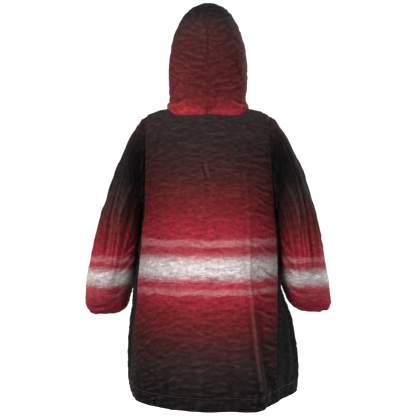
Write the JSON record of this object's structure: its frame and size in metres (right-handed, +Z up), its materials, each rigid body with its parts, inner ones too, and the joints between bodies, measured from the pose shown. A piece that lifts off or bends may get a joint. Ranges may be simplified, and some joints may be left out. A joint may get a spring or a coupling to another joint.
{
  "type": "pull-on hoodie",
  "caption": "Oversized long pull-on hoodie in dip-dyed brushed fleece, filled out as worn, hood up, sleeves hanging and gathered to cuffs, open neck, face, cuffs and hem.",
  "frame": {"origin": "centre line of the garment at the level of the side neck, where the wearer's shoulders hold it up", "axes": "+Z up the wearer, -Y the way the wearer faces, so the back is at +Y; +X the wearer's left"},
  "size_m": [0.7734, 0.4904, 1.1897],
  "materials": {
    "fleece_print": "brushed fleece, dip-dyed charcoal to crimson",
    "fleece_dark": "brushed fleece, charcoal",
    "knit_cuff": "rib knit, charcoal"
  },
  "bodies": {
    "root": {"back_panel": "fleece_print", "front_panel": "fleece_print", "sleeve_left": "fleece_print", "sleeve_right": "fleece_print", "hood_left": "fleece_print", "hood_right": "fleece_print", "side_gore_left": "fleece_dark", "side_gore_right": "fleece_dark", "cuff_left": "knit_cuff", "cuff_right": "knit_cuff"}
  },
  "joints": []
}
